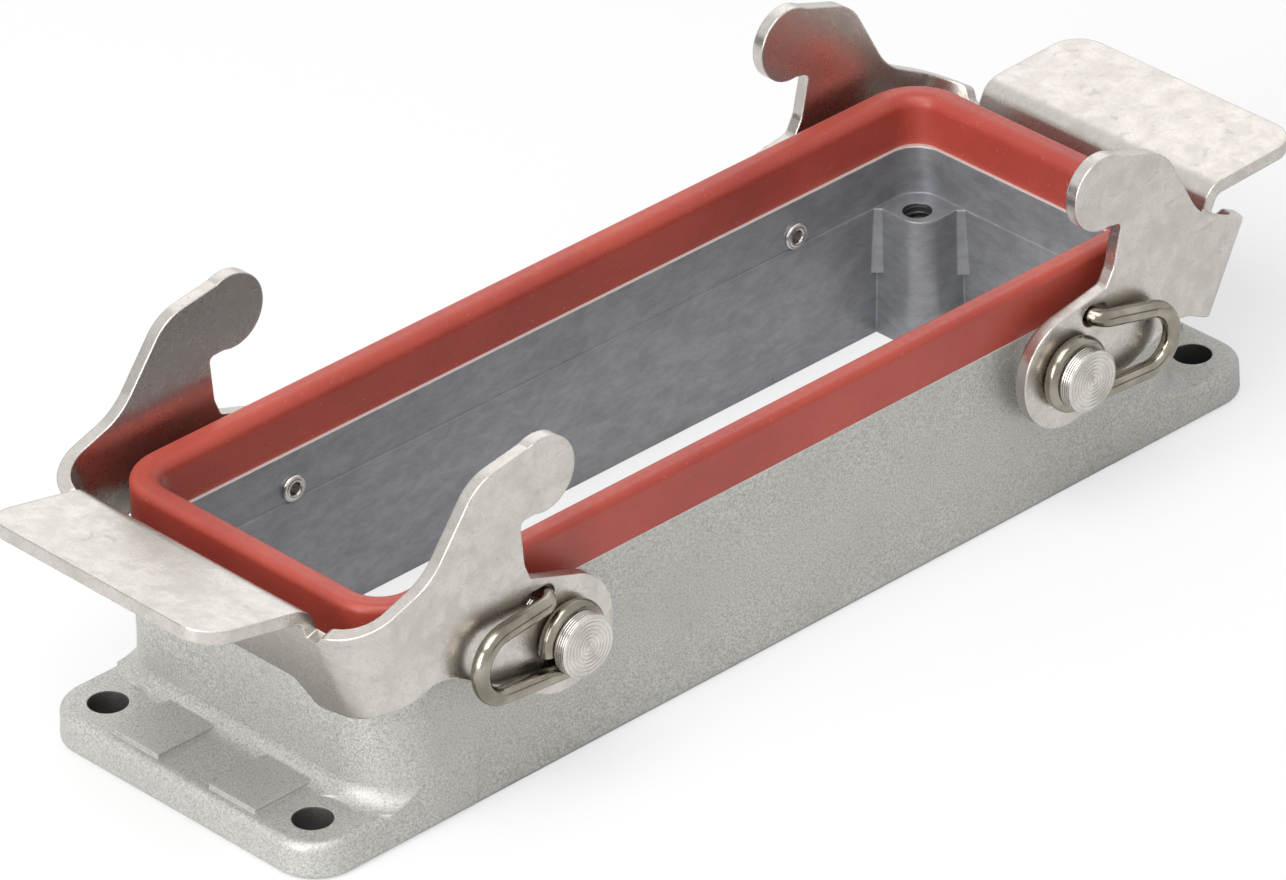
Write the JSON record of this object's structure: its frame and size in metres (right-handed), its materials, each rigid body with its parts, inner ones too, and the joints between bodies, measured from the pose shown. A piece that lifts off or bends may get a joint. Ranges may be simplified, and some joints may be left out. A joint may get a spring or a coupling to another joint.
{
  "type": "bulkhead mounting housing of a heavy duty rectangular connector",
  "caption": "Rectangular die cast bulkhead housing with a rubber rim seal, two sprung sheet steel locking levers and screw bosses for a contact insert.",
  "frame": {"origin": "centre of the fixing hole pattern on the underside of the flange", "axes": "+X along the length of the housing, +Y across it, +Z from the mounting face up to the rim seal"},
  "size_m": [0.1603, 0.0566, 0.0422],
  "materials": {
    "cast_aluminium": "blasted die casting, satin inside",
    "seal_rubber": "smooth satin red-brown rubber",
    "lever_steel": "tumbled stainless sheet",
    "stud_steel": "turned, fine rings",
    "spring_wire": "polished wire"
  },
  "bodies": {
    "base": {"housing": "cast_aluminium", "rim_seal": "seal_rubber", "flange_seal": "seal_rubber", "stud_left_front": "stud_steel", "stud_left_back": "stud_steel", "stud_right_front": "stud_steel", "stud_right_back": "stud_steel"},
    "left_lever": {"lever_left": "lever_steel", "spring_left_front": "spring_wire", "spring_left_back": "spring_wire"},
    "right_lever": {"lever_right": "lever_steel", "spring_right_front": "spring_wire", "spring_right_back": "spring_wire"}
  },
  "joints": [
    {"name": "left_lever_hinge", "type": "hinge", "parent": "base", "child": "left_lever", "pos_m": [-0.037, 0, 0.0177], "axis": [0, -1, 0], "range_deg": [-17.5, 10.5]},
    {"name": "right_lever_hinge", "type": "hinge", "parent": "base", "child": "right_lever", "pos_m": [0.037, 0, 0.0177], "axis": [0, 1, 0], "range_deg": [-27, 1]}
  ]
}
